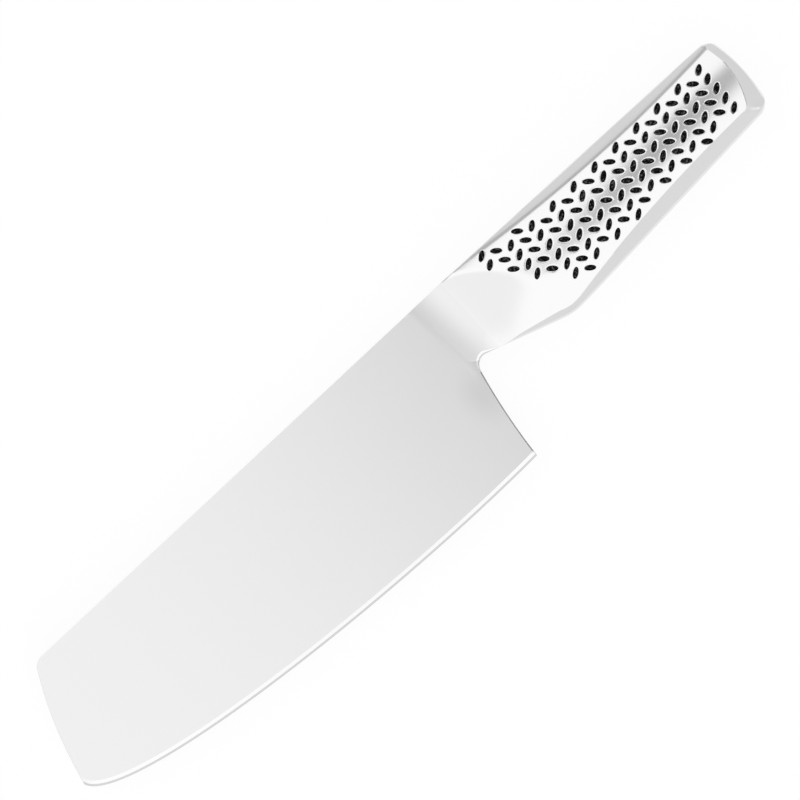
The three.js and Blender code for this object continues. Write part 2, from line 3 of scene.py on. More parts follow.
import bmesh
import bpy
import numpy as np
from mathutils import Matrix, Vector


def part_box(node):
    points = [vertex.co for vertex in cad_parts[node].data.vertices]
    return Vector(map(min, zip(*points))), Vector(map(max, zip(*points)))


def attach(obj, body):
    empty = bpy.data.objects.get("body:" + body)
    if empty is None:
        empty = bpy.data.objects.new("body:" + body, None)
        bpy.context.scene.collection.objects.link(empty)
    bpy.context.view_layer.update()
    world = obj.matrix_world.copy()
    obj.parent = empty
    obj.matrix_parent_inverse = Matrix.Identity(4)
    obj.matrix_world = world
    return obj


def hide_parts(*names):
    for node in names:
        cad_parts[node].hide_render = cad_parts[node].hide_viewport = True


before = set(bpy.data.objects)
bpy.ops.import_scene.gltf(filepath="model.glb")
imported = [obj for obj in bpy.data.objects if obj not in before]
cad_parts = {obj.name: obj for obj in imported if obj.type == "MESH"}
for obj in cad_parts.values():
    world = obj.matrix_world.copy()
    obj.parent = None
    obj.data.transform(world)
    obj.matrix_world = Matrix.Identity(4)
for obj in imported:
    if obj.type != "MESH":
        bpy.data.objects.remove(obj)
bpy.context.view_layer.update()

# Blade: one sheet of stainless steel, ground flat on both flanks, with a honed bevel along the cutting edge
# and eased corners everywhere else. The bevel is painted lighter, a painted highlight, with painted shade on
# its last half millimetre. The grind leaves fine lines that run from the spine to the edge. Painted shade
# darkens the neck round the toe of its welds and in front of the heel. The neck ends in a stub tang inside
# the handle.
MM = 0.001
BLADE_LENGTH = 180.0
HEEL_DEPTH = 62.1
POINT_DEPTH = 39.9
TIP_RAKE = 15.6
TIP_BOW = 1.6
TIP_TOP_RADIUS = 4.5
EDGE_POINT_REACH = 6.0
EDGE_POINT_SAG = 16.5
EDGE_HEEL_REACH = 60.0
EDGE_HEEL_SAG = 2.4
HEEL_SLANT = 6.1
HEEL_HOLLOW = 0.6
NECK_DEPTH = 25.2
NECK_LENGTH = 8.9
CHOIL_RADIUS = 4.0
BOLSTER_FLARE = 0.335
TANG_LENGTH = 8.0
TANG_HEIGHT = 17.0
TANG_DROP = 5.0
TANG_RADIUS = 3.0
SPINE_THICKNESS = 2.2
TIP_THINNING = 0.32
FLANK_TAPER = 0.0125
BEVEL_WIDTH = 1.9
EDGE_THICKNESS = 0.08
SPINE_EASE = 0.2
HEEL_EASE = 0.45
EASE_PROFILE = [(1.0, 0.0), (0.22, 0.24), (0.08, 0.5), (0.0, 1.0)]
BEVEL_SHARES = [0.0, 0.6, 0.8, 1.0]
STRAIGHT_TURN = 1e-7
HEEL_STEPS = 14
CHOIL_STEPS = 20
TANG_STEPS = 8
TIP_TOP_STEPS = 16
TIP_STEPS = 10
EDGE_STEPS = 120
BLADE_CREASE = 25
CAPS = 2
CHOIL_X = BLADE_LENGTH + HEEL_SLANT
NOSE_X = CHOIL_X + NECK_LENGTH

blade_low, blade_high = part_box("blade")
knife_origin = np.array([blade_low.x, blade_high.y, (blade_low.z + blade_high.z) / 2])


def placed(points):
    """Places in the frame of points in millimetres from the point, the spine and the middle plane."""
    return np.asarray(points, float) * MM + knife_origin


def unit(vectors):
    return vectors / np.linalg.norm(vectors, axis=-1, keepdims=True)


def bezier(handles, count):
    """Points along a Bezier curve, without its last one."""
    share = np.arange(count)[:, None] / count
    degree = len(handles) - 1
    weights = [math.comb(degree, k) * share**k * (1 - share) ** (degree - k) for k in range(degree + 1)]
    return sum(weight * handle for weight, handle in zip(weights, handles))


def bow_handle(start, end, bow):
    """Handle of a shallow curve that bows off the chord between two points, to the chord's right."""
    right = unit(np.array([end[1] - start[1], start[0] - end[0]]))
    return (start + end) / 2 + right * 2 * bow


def round_corner(before, corner, after, radius, count):
    """Arc that rounds the corner between two straight sides, with both its ends."""
    back, onward = unit(before - corner), unit(after - corner)
    half = math.acos(back @ onward) / 2
    centre = corner + unit(back + onward) * radius / math.sin(half)
    start = corner + back * radius / math.tan(half) - centre
    end = corner + onward * radius / math.tan(half) - centre
    turn = math.pi - 2 * half
    share = np.linspace(0, 1, count)[:, None]
    return centre + (np.sin((1 - share) * turn) * start + np.sin(share * turn) * end) / math.sin(turn)


def inset(outline, widths):
    """Outline moved inwards, each side by its own width, with the sides joined again at the corners."""
    before = unit(outline - np.roll(outline, 1, axis=0))
    after = unit(np.roll(outline, -1, axis=0) - outline)
    turn = before[:, 0] * after[:, 1] - before[:, 1] * after[:, 0]
    straight = (np.abs(turn) < STRAIGHT_TURN)[:, None]
    level = np.stack([-after[:, 1], after[:, 0]], axis=1) * widths[:, None]
    shift = after * np.roll(widths, 1)[:, None] - before * widths[:, None]
    return outline + np.where(straight, level, shift / np.where(straight, 1, turn[:, None]))


def bolster_line(x):
    return -NECK_DEPTH - BOLSTER_FLARE * (x - CHOIL_X)


def flank_height(x, y):
    """Half thickness of the blade, which thins evenly towards the edge and towards the tip."""
    return SPINE_THICKNESS / 2 + TIP_THINNING * (x - CHOIL_X) / BLADE_LENGTH + FLANK_TAPER * y


def solid(name, places, faces):
    """Object of a closed mesh, its faces turned outwards."""
    mesh = bpy.data.meshes.new(name)
    mesh.from_pydata(np.asarray(places).tolist(), [], faces)
    shape = bmesh.new()
    shape.from_mesh(mesh)
    bmesh.ops.recalc_face_normals(shape, faces=shape.faces)
    shape.to_mesh(mesh)
    shape.free()
    piece = bpy.data.objects.new(name, mesh)
    bpy.context.collection.objects.link(piece)
    return piece


def loft(name, rings):
    """Closed object over a stack of rings in the frame. Its first two faces are the caps on both ends."""
    count = len(rings[0])
    faces = [tuple(range(count)), tuple(range((len(rings) - 1) * count, len(rings) * count))]
    for lower in range(len(rings) - 1):
        for k in range(count):
            a, b = lower * count + k, lower * count + (k + 1) % count
            faces.append((a, b, b + count, a + count))
    return solid(name, np.concatenate(rings), faces)


def soften(piece, crease):
    """Smooth shading, with sharp edges where two faces meet at more than the crease angle."""
    piece.data.shade_smooth()
    piece.data.set_sharp_from_angle(angle=math.radians(crease))


heel = np.array([BLADE_LENGTH, -HEEL_DEPTH])
choil = np.array([CHOIL_X, -NECK_DEPTH])
neck_low = np.array([NOSE_X, bolster_line(NOSE_X)])
tang_low = np.array([NOSE_X, -TANG_DROP - TANG_HEIGHT])
tang_low_end = tang_low + [TANG_LENGTH, 0]
tang_high = np.array([NOSE_X, -TANG_DROP])
tang_high_end = tang_high + [TANG_LENGTH, 0]
neck_high = np.array([NOSE_X, 0.0])
tip_top = np.array([TIP_RAKE, 0.0])
point = np.array([0.0, -POINT_DEPTH])
tip_handle = bow_handle(tip_top, point, TIP_BOW)
choil_arc = round_corner(heel, choil, neck_low, CHOIL_RADIUS, CHOIL_STEPS)
tip_arc = round_corner(neck_high, tip_top, tip_handle, TIP_TOP_RADIUS, TIP_TOP_STEPS)
heel_side = bezier([heel, bow_handle(heel, choil_arc[0], -HEEL_HOLLOW), choil_arc[0]], HEEL_STEPS)
blunt_sides = np.concatenate([
    heel_side,
    choil_arc,
    [neck_low, tang_low],
    round_corner(tang_low, tang_low_end, tang_high_end, TANG_RADIUS, TANG_STEPS),
    round_corner(tang_low_end, tang_high_end, tang_high, TANG_RADIUS, TANG_STEPS),
    [tang_high, neck_high],
    tip_arc[:-1],
    bezier([tip_arc[-1], tip_handle, point], TIP_STEPS),
])
point_handle = point + [EDGE_POINT_REACH, -EDGE_POINT_SAG]
heel_handle = heel - [EDGE_HEEL_REACH, EDGE_HEEL_SAG]
cutting_edge = bezier([point, point_handle, heel_handle, heel], EDGE_STEPS)
blade_outline = np.concatenate([blunt_sides, cutting_edge])
edge_side = np.arange(len(blade_outline)) >= len(blunt_sides)
edge_corner = edge_side | np.roll(edge_side, 1)

from_choil = np.arange(len(blade_outline)) - len(heel_side)
ease_width = np.interp(from_choil, [0, len(choil_arc) - 1], [HEEL_EASE, SPINE_EASE])
upper_rings = []
flank_ring = inset(blade_outline, np.where(edge_side, BEVEL_WIDTH, ease_width))
flank_rise = flank_height(flank_ring[:, 0], flank_ring[:, 1])
for (left, dropped), share in zip(EASE_PROFILE, BEVEL_SHARES):
    ring = inset(blade_outline, np.where(edge_side, BEVEL_WIDTH * (1 - share), ease_width * left))
    bevel = flank_rise + (EDGE_THICKNESS / 2 - flank_rise) * share
    back = flank_height(ring[:, 0], ring[:, 1]) - ease_width * dropped
    upper_rings.append(np.column_stack([ring, np.where(edge_corner, bevel, back)]))
lower_rings = [ring * [1, 1, -1] for ring in reversed(upper_rings)]
blade_rings = upper_rings + lower_rings
blade = loft("blade_ground", [placed(ring) for ring in blade_rings])
soften(blade, BLADE_CREASE)
flank_borders = {key for flank in blade.data.polygons[:CAPS] for key in flank.edge_keys}
sharp = blade.data.attributes["sharp_edge"]
for index, key in enumerate(blade.data.edge_keys):
    if key in flank_borders:
        sharp.data[index].value = True


class Socket:
    """Output of a node, on which arithmetic adds Math nodes."""

    def __init__(self, graph, socket):
        self.graph = graph
        self.socket = socket

    def out(self, key):
        return Socket(self.graph, self.socket.node.outputs[key])

    def maths(self, operation, first, second):
        return self.graph.node("ShaderNodeMath", {"operation": operation}, {0: first, 1: second})

    def __add__(self, other):
        return self.maths("ADD", self, other)

    __radd__ = __add__

    def __mul__(self, other):
        return self.maths("MULTIPLY", self, other)

    __rmul__ = __mul__

    def __sub__(self, other):
        return self.maths("SUBTRACT", self, other)

    def __rsub__(self, other):
        return self.maths("SUBTRACT", other, self)

    def __truediv__(self, other):
        return self.maths("DIVIDE", self, other)

    def __rtruediv__(self, other):
        return self.maths("DIVIDE", other, self)


class Graph:
    """Node tree that is written with one call for each node."""

    def __init__(self, tree):
        self.tree = tree
        tree.nodes.clear()

    def node(self, kind, settings, inputs):
        """Adds a node of a kind, with its settings and then the values or links of its sockets."""
        made = self.tree.nodes.new(kind)
        for name, value in settings.items():
            setattr(made, name, value)
        for key, value in inputs.items():
            for item in value if isinstance(value, list) else [value]:
                if isinstance(item, Socket):
                    self.tree.links.new(item.socket, made.inputs[key])
                else:
                    made.inputs[key].default_value = item
        return Socket(self, made.outputs[0]) if made.outputs else None

    def fade(self, value, start, end):
        """Share from 0 to 1 that a value has gone from a start to an end, eased at both."""
        limits = {"Value": value, "From Min": start, "From Max": end}
        return self.node("ShaderNodeMapRange", {"interpolation_type": "SMOOTHSTEP"}, limits)

    def mix(self, share, first, second):
        """Colour that goes from a first to a second by a share from 0 to 1."""
        colours = {0: share, 6: first, 7: second}
        return self.node("ShaderNodeMix", {"data_type": "RGBA"}, colours).out(2)


def new_material(name):
    material = bpy.data.materials.new(name)
    material.use_nodes = True
    return material, Graph(material.node_tree)


STREAK_DETAIL = 4.0
STREAK_SHARE = 0.6
STREAK_RELIEF = {"Strength": 0.05, "Distance": 0.02 * MM}
CLOUDS = {"Scale": 45.0, "Detail": 3.0}
POLISH_SPREAD = 0.08
BLADE_LAY = 5000, 90, 90
BLADE_ROUGHNESS = 0.25
BLADE_TONE = 0.79
# Painted highlight on the honed bevel, and painted shade on its outermost band along the cutting edge.
BEVEL_HIGHLIGHT_TONE = 0.88
EDGE_SHADE_TONE = 0.62
BLADE_MOTTLE = 0.03
EDGE_MOTTLE = 0.05
# Painted shade round the toe of the neck weld and in front of the heel, standing in for dark reflections
# there.
PAINTED_SHADE_DEPTH = 0.2
SHADE_BEFORE_CHOIL = 1.1
SHADE_SLANT = 0.09
SHADE_BEFORE = 5.5
SHADE_AFTER = 9.0
HEEL_SHADE = 0.5
HEEL_SHADE_CENTRE = CHOIL_X - 5.6, -NECK_DEPTH - 10.8
HEEL_SHADE_REACH = 10.0
HEEL_SHADE_NARROWING = 0.75
shade_toe_x = placed([CHOIL_X - SHADE_BEFORE_CHOIL, 0, 0])[0]
heel_shade_x, heel_shade_y = placed([*HEEL_SHADE_CENTRE, 0])[:2]


def grey(tone):
    return tone, tone, tone, 1


def steel(name, tone, roughness, lay, mottle, shade_depth=0.0, finer=0.0, finer_to=1.0):
    """Satin steel: streaks with a lay given as their frequency along each axis, and faint broad clouding.

    Round the toe of the neck weld, and faintly in front of the heel, a shade depth darkens the colour:
    painted shade, standing in for a dark reflection at the toe and a darker patch near the heel. Past the toe
    the polish may get finer, by a drop in roughness that is complete at a place along the knife.
    """
    material, graph = new_material(name)
    place = graph.node("ShaderNodeTexCoord", {}, {}).out("Object")
    along = graph.node("ShaderNodeMapping", {}, {"Vector": place, "Scale": lay})
    streaks = {"Vector": along, "Scale": 1.0, "Detail": STREAK_DETAIL}
    streaks = graph.node("ShaderNodeTexNoise", {}, streaks)
    clouds = graph.node("ShaderNodeTexNoise", {}, {"Vector": place, **CLOUDS})
    polish = streaks * STREAK_SHARE + clouds * (1 - STREAK_SHARE)
    tint = graph.mix(polish, grey(tone * (1 - mottle)), grey(tone))
    bump = graph.node("ShaderNodeBump", {}, {"Height": streaks, **STREAK_RELIEF})
    grain = roughness + (polish - 0.5) * POLISH_SPREAD
    if shade_depth:
        # Painted shade: darker round the toe of the neck weld and in a patch in front of the heel.
        axes = graph.node("ShaderNodeSeparateXYZ", {}, {0: place})
        past_toe = axes.out("X") + (axes.out("Y") - knife_origin[1]) * SHADE_SLANT - shade_toe_x
        shaded = graph.fade(past_toe, -SHADE_BEFORE * MM, 0.0)
        shaded = shaded * (1 - graph.fade(past_toe, 0.0, SHADE_AFTER * MM))
        heel_shade_along = axes.out("X") - heel_shade_x
        heel_shade_across = (axes.out("Y") - heel_shade_y) * HEEL_SHADE_NARROWING
        from_heel_shade = axes.maths("SQRT", heel_shade_along * heel_shade_along + heel_shade_across * heel_shade_across, 0.0)
        shaded = shaded + (1 - graph.fade(from_heel_shade, 0.0, HEEL_SHADE_REACH * MM)) * HEEL_SHADE
        tint = graph.mix(shaded, tint, grey(tone * (1 - shade_depth)))
        grain = grain - graph.fade(axes.out("X"), shade_toe_x, finer_to) * finer
    finish = {"Base Color": tint, "Metallic": 1.0, "Roughness": grain, "Normal": bump}
    finish = graph.node("ShaderNodeBsdfPrincipled", {}, finish)
    graph.node("ShaderNodeOutputMaterial", {}, {"Surface": finish})
    return material


def fit(piece, slot, *nodes):
    """Fixes a finished piece to the knife, and hides the solids that it stands for."""
    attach(piece, "root")
    if nodes:
        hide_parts(*nodes)


blade_satin = steel("blade_satin", BLADE_TONE, BLADE_ROUGHNESS, BLADE_LAY, BLADE_MOTTLE, PAINTED_SHADE_DEPTH)
painted_bevel_highlight = steel("painted_bevel_highlight", BEVEL_HIGHLIGHT_TONE, BLADE_ROUGHNESS, BLADE_LAY, BLADE_MOTTLE)
painted_edge_shade = steel("painted_edge_shade", EDGE_SHADE_TONE, BLADE_ROUGHNESS, BLADE_LAY, EDGE_MOTTLE)
# The bevel's faces get the painted highlight, its outermost band the painted shade.
HIGHLIGHT_SLOT, SHADE_SLOT = 1, 2
for finish in (blade_satin, painted_bevel_highlight, painted_edge_shade):
    blade.data.materials.append(finish)
steps = len(blade_rings) - 1
for step in range(steps):
    outermost = 0 < step < steps - 1
    for k in np.flatnonzero(edge_side):
        side = blade.data.polygons[CAPS + step * len(blade_outline) + int(k)]
        side.material_index = SHADE_SLOT if outermost else HIGHLIGHT_SLOT
fit(blade, "blade_steel", "blade")

# Handle shells: two pressed half shells of thin stainless steel, mirror images, welded round their seam.
# Each has a crown that thins into the neck by a scoop and a facet, rims that slope to the seam, and columns
# of oval grip dents with rounded lips, pressed into the crown and leaning to either side by turns.
HANDLE_LENGTH = 118.8
SPINE_DROP = 1.25
SPINE_CURVE = 1.2
BELLY_TAPER = 0.0676
BUTT_DEPTH = 30.6
BELLY_SOFTNESS = 0.6
BUTT_RADIUS = 68.0
BUTT_CORNER = 4.2
HANDLE_THICKNESS = 2 * (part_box("handle_shell_left")[1].z - knife_origin[2]) / MM
THICKEST_FROM_NOSE = 62.0
BARREL_RADIUS = 950.0
CROWN_RADIUS = 38.0
CROWN_AXIS_DEPTH = 17.0
SEAM_LAND = 1.4
NOSE_LAND = 0.7
LAND_TAPER = 30.0
SPINE_RIM = {"slope": 0.91, "rounding": 0.25}
SPINE_RIM_RISE = 1.8
SPINE_NOSE_RISE = 2.4
SPINE_RIM_TAPER = 80.0
BELLY_RIM = {"rise": 0.6, "slope": 0.93, "rounding": 0.6}
BUTT_RIM = {"slope": 0.6, "rounding": 0.8}
BUTT_RIM_RISE = 3.6
BUTT_RIM_LEAST_RISE = 0.3
BUTT_DOME_RADIUS = 26.0
BUTT_DOME_DEPTH = 14.0
BUTT_SOFTNESS = 0.3
BUTT_SOFTNESS_LEFT = 0.05
SCOOP_LEAD = 3.0
SCOOP_RADIUS = 60.0
SCOOP_ANGLE = math.radians(18.5)
SCOOP_SLANT = -0.05
FACET_FOOT = 1.0
FACET_CLIMB = 0.085
FACET_SLOPE = 0.3
FACET_SOFTNESS = 0.45
FACET_LEAST_SCOOP = 0.02
CREASE_SOFTNESS = 0.15
WALL = 1.0
INNER_LAND = 0.4
NOSE_LENGTH = 9.0
SEAM_WELD_WIDTH = 1.0
SEAM_WELD_DEPTH = 0.6
FIT_GAP = 0.05
CUT_MARGIN = 1.0
LONG_ROWS = 190
CLOSE_ROWS = 30
CLOSE_ROWS_LENGTH = 10.0
CORNER_ROWS = 26
TRIAL_COLUMNS = 800
RIM_COLUMNS = 15
CROWN_COLUMNS = 101
INNER_ROWS = 60
INNER_CORNER_ROWS = 10
INNER_COLUMNS = 40
HANDLE_CREASE = 22
HANDLE_TONE = 0.83
HANDLE_ROUGHNESS = 0.2
HANDLE_LAY = 400, 2500, 2500
HANDLE_MOTTLE = 0.02
BUTT_X = NOSE_X + HANDLE_LENGTH
HEEL_LEAN = HEEL_SLANT / (HEEL_DEPTH - NECK_DEPTH)
CHOIL_ANGLE = math.pi / 2 + math.atan(HEEL_LEAN) - math.atan(BOLSTER_FLARE)
CHOIL_SOFTNESS = CHOIL_RADIUS * (1 - math.sin(CHOIL_ANGLE / 2))


def soft_lower(a, b, softness):
    """Lower of two heights, with the corner between them rounded by a small softness."""
    return (a + b) / 2 - np.hypot((a - b) / 2, softness)


def creased(a, b, softness):
    """Lower of two heights, with the crease between them rounded and nothing changed away from it."""
    near = np.maximum(0, 1 - np.abs(a - b) / (4 * softness))
    return np.minimum(a, b) - softness * near**2


def spine_line(x):
    return -SPINE_DROP * np.maximum(0, (x - NOSE_X) / HANDLE_LENGTH) ** SPINE_CURVE


def belly_line(x):
    belly = BUTT_DEPTH + BELLY_TAPER * (BUTT_X - x)
    return -soft_lower(-bolster_line(x), belly, BELLY_SOFTNESS)


def from_below(x, y, bottom):
    """Distance inside the lower outline, which turns at the choil from the bolster down to the heel."""
    heel_x = CHOIL_X + HEEL_LEAN * (y + NECK_DEPTH)
    return -soft_lower(bottom - y, x - heel_x, CHOIL_SOFTNESS)


def neck_height(x, y):
    """Scoop that bends up off the blade's flank into a ramp, over a facet that rises off the bolster."""
    flank = flank_height(x, y)
    reach = x - CHOIL_X + SCOOP_LEAD - SCOOP_SLANT * (y + NECK_DEPTH / 2)
    bend = SCOOP_RADIUS * math.sin(SCOOP_ANGLE)
    arc = SCOOP_RADIUS - np.sqrt(SCOOP_RADIUS**2 - np.clip(reach, 0, bend) ** 2)
    scoop = arc + np.maximum(0, reach - bend) * math.tan(SCOOP_ANGLE)
    above_bolster = (y - bolster_line(x)) / math.hypot(1, BOLSTER_FLARE)
    facet = FACET_FOOT + FACET_CLIMB * (x - CHOIL_X) + FACET_SLOPE * above_bolster - flank
    softness = FACET_SOFTNESS * np.clip(scoop, FACET_LEAST_SCOOP, 1)
    return flank + np.maximum(0, creased(scoop, facet, softness))


def crown_height(x, y):
    """Crown of the handle: barrel shaped along its length, an arc across it."""
    top = HANDLE_THICKNESS / 2 - (x - NOSE_X - THICKEST_FROM_NOSE) ** 2 / (2 * BARREL_RADIUS)
    return top - CROWN_RADIUS + np.sqrt(CROWN_RADIUS**2 - (y + CROWN_AXIS_DEPTH) ** 2)


def rim_height(distance, deep, seam_land, rise, slope, rounding):
    """Rim at a distance inside the outline: a rounded edge off the seam's land, then a slope."""
    land = INNER_LAND if deep else seam_land
    ramp = seam_land + rise + slope * (distance + deep) - deep * math.hypot(1, slope)
    near = np.clip(distance / rounding, 0, 1)
    return land + (ramp - land) * np.sqrt(1 - (1 - near) ** 2)


def spine_rim_height(x, distance, deep=0.0):
    """Rim along the spine, which stands higher towards the nose."""
    taper = np.clip((x - NOSE_X) / SPINE_RIM_TAPER, 0, 1)
    rise = SPINE_NOSE_RISE + (SPINE_RIM_RISE - SPINE_NOSE_RISE) * taper
    return rim_height(distance, deep, SEAM_LAND, rise, **SPINE_RIM)


def belly_rim_height(x, distance, deep=0.0):
    """Rim along the bolster and the belly, whose land at the seam tapers towards the nose."""
    land = NOSE_LAND + (SEAM_LAND - NOSE_LAND) * np.clip((x - NOSE_X) / LAND_TAPER, 0, 1)
    return rim_height(distance, deep, land, **BELLY_RIM)


def butt_rim_height(y, distance, deep=0.0):
    """Rim round the butt, domed from the spine to the belly."""
    dome = BUTT_RIM_RISE - (y + BUTT_DOME_DEPTH) ** 2 / (2 * BUTT_DOME_RADIUS)
    rise = -soft_lower(-dome, -BUTT_RIM_LEAST_RISE, CREASE_SOFTNESS)
    return rim_height(distance, deep, SEAM_LAND, rise, **BUTT_RIM)


def body_height(x, y):
    """Crown of the handle, or its neck where that is lower."""
    return creased(neck_height(x, y), crown_height(x, y), CREASE_SOFTNESS)


def handle_plan(row_x, across, deep):
    """Places in plan across rows of the handle, from its top line at 0 to its bottom line at 1."""
    row_x = row_x[:, None]
    corner = max(BUTT_CORNER - deep, INNER_LAND)
    from_butt = BUTT_X - deep - row_x
    short = corner - np.minimum(from_butt, corner)
    drop = deep + corner - np.sqrt(corner**2 - short**2)
    top, bottom = spine_line(row_x) - drop, belly_line(row_x) + drop
    y = top + (bottom - top) * across
    bulge = np.clip((row_x - row_x[0]) / (BUTT_X - deep - corner - row_x[0]), 0, 1)
    middle = (spine_line(BUTT_X) + belly_line(BUTT_X)) / 2
    x = row_x - bulge * (y - middle) ** 2 / (2 * BUTT_RADIUS)
    return x, y, top - y, from_below(x, y, bottom), from_butt


def handle_grid(row_x, across, deep=0.0):
    """Grid over the outside of the handle, or over a hollow that lies deep below it."""
    x, y, from_spine, from_belly, from_butt = handle_plan(row_x, across, deep)
    body = body_height(x, y) - deep
    spine_rim = spine_rim_height(x, from_spine, deep)
    belly_rim = belly_rim_height(x, from_belly, deep)
    butt_rim = butt_rim_height(y, from_butt, deep)
    corner_softness = BUTT_SOFTNESS * np.clip(from_butt / BUTT_CORNER, BUTT_SOFTNESS_LEFT, 1)
    end_rims = creased(belly_rim, butt_rim, corner_softness)
    height = np.minimum(creased(body, spine_rim, CREASE_SOFTNESS), end_rims)
    return np.stack([x, y, height], axis=-1)


def crossing(gap):
    """Share of the way along each row at which a gap first changes from plus to minus."""
    after = np.maximum(np.argmax(gap <= 0, axis=1), 1)
    rows = np.arange(len(gap))
    high, low = gap[rows, after - 1], gap[rows, after]
    return (after - 1 + high / (high - low)) / (gap.shape[1] - 1)


def crease_columns(row_x):
    """Shares across each row, with a column of the grid on the inner line of each rim."""
    trial = np.linspace(0, 1, TRIAL_COLUMNS)
    x, y, from_spine, from_belly, _ = handle_plan(row_x, trial, 0.0)
    body = body_height(x, y)
    spine_crease = crossing(body - spine_rim_height(x, from_spine))[:, None]
    belly_crease = 1 - crossing((body - belly_rim_height(x, from_belly))[:, ::-1])[:, None]
    near_rim = 1 - np.cos(np.linspace(0, math.pi / 2, RIM_COLUMNS))
    level = np.linspace(0, 1, CROWN_COLUMNS)[1:]
    spine_part = spine_crease * near_rim
    crown_part = spine_crease + (belly_crease - spine_crease) * level
    belly_part = 1 - (1 - belly_crease) * near_rim[::-1][1:]
    return np.concatenate([spine_part, crown_part, belly_part], axis=1)


def slab(name, grid, rings_below):
    """Closed object under a grid of points, down through rings that start from the grid's border."""
    rows, columns = grid.shape[:2]
    index = np.arange(rows * columns).reshape(rows, columns)
    border = np.concatenate([index[0, :-1], index[:-1, -1], index[-1, :0:-1], index[:0:-1, 0]])
    quads = np.stack([index[:-1, :-1], index[:-1, 1:], index[1:, 1:], index[1:, :-1]], axis=-1)
    faces = quads.reshape(-1, 4).tolist()
    places = [grid.reshape(-1, 3)]
    upper, count = border, len(border)
    for number, below in enumerate(rings_below):
        lower = rows * columns + number * count + np.arange(count)
        walls = np.stack([upper, np.roll(upper, -1), np.roll(lower, -1), lower], axis=-1)
        faces += walls.tolist()
        places.append(below(grid.reshape(-1, 3)[border]))
        upper = lower
    faces.append(upper.tolist())
    return solid(name, placed(np.concatenate(places)), faces)


def weld_chamfer(ring):
    """Border of a half shell on the seam plane, pulled in for the weld except across the nose."""
    border = ring[:, :2]
    across_nose = np.maximum(border[:, 0], np.roll(border[:, 0], -1)) < NOSE_X + FIT_GAP
    pulled = inset(border, np.where(across_nose, 0.0, SEAM_WELD_DEPTH))
    return np.column_stack([pulled, np.zeros(len(pulled))])


def levelled(height):
    """Ring straight below or above another, at a height of its own."""
    return lambda ring: np.column_stack([ring[:, :2], np.full(len(ring), height)])


def closing_up(count):
    """Shares from 0, left out, to 1 that get closer together towards 1."""
    return np.sin(np.linspace(0, math.pi / 2, count))[1:]


def close_at_ends(count):
    """Shares from 0 to 1 that are closest together at both ends."""
    return (1 - np.cos(np.linspace(0, math.pi, count))) / 2


corner_x = BUTT_X - BUTT_CORNER
close_rows_x = BUTT_X - CLOSE_ROWS_LENGTH
straight_rows = np.concatenate([
    np.linspace(NOSE_X, close_rows_x, LONG_ROWS),
    np.linspace(close_rows_x, corner_x, CLOSE_ROWS)[1:],
])
outer_rows = np.concatenate([straight_rows, corner_x + BUTT_CORNER * closing_up(CORNER_ROWS)])
outer_grid = handle_grid(outer_rows, crease_columns(outer_rows))
left_shell = slab("handle_shell_left_pressed", outer_grid, [levelled(SEAM_WELD_WIDTH / 2), weld_chamfer])

inner_rows = np.concatenate([
    np.linspace(NOSE_X + NOSE_LENGTH, corner_x, INNER_ROWS),
    corner_x + (BUTT_CORNER - WALL) * closing_up(INNER_CORNER_ROWS),
])
hollow_grid = handle_grid(inner_rows, close_at_ends(INNER_COLUMNS), WALL)
hollow = slab("hollow", hollow_grid, [levelled(-CUT_MARGIN)])

DENT_LENGTH = 4.0
DENT_WIDTH = 1.9
DENT_LEAN = math.radians(40)
DENT_COLUMN_PITCH = 4.6
DENT_ROW_PITCH = 4.2
DENT_ROWS_EACH_WAY = 10
DENT_FIELD_START = 11.0
DENT_FIELD_END = 8.0
DENT_RIM_MARGIN = 0.9
DENT_CREASE_MARGIN = 0.5
DENT_SIDES = 20
DENT_PROFILE = [(0.42, 0.12), (0.3, 0.0), (0.0, -0.1), (-0.12, -0.45)]
SURFACE_STEP = 0.1


def takes_dent(x, y):
    """Whether a dent at a place keeps clear of the rims and of the crease behind the neck."""
    if not belly_line(x) < y < spine_line(x):
        return False
    crown = crown_height(x, y)
    spine_rim = spine_rim_height(x, spine_line(x) - y)
    belly_rim = belly_rim_height(x, y - belly_line(x))
    clear_of_rims = min(spine_rim, belly_rim) - crown > DENT_RIM_MARGIN
    return clear_of_rims and neck_height(x, y) - crown > DENT_CREASE_MARGIN


def square_to_crown(x, y):
    """Direction that stands square on the crown."""
    rise_x = crown_height(x + SURFACE_STEP, y) - crown_height(x, y)
    rise_y = crown_height(x, y + SURFACE_STEP) - crown_height(x, y)
    return unit(np.array([-rise_x, -rise_y, SURFACE_STEP]))


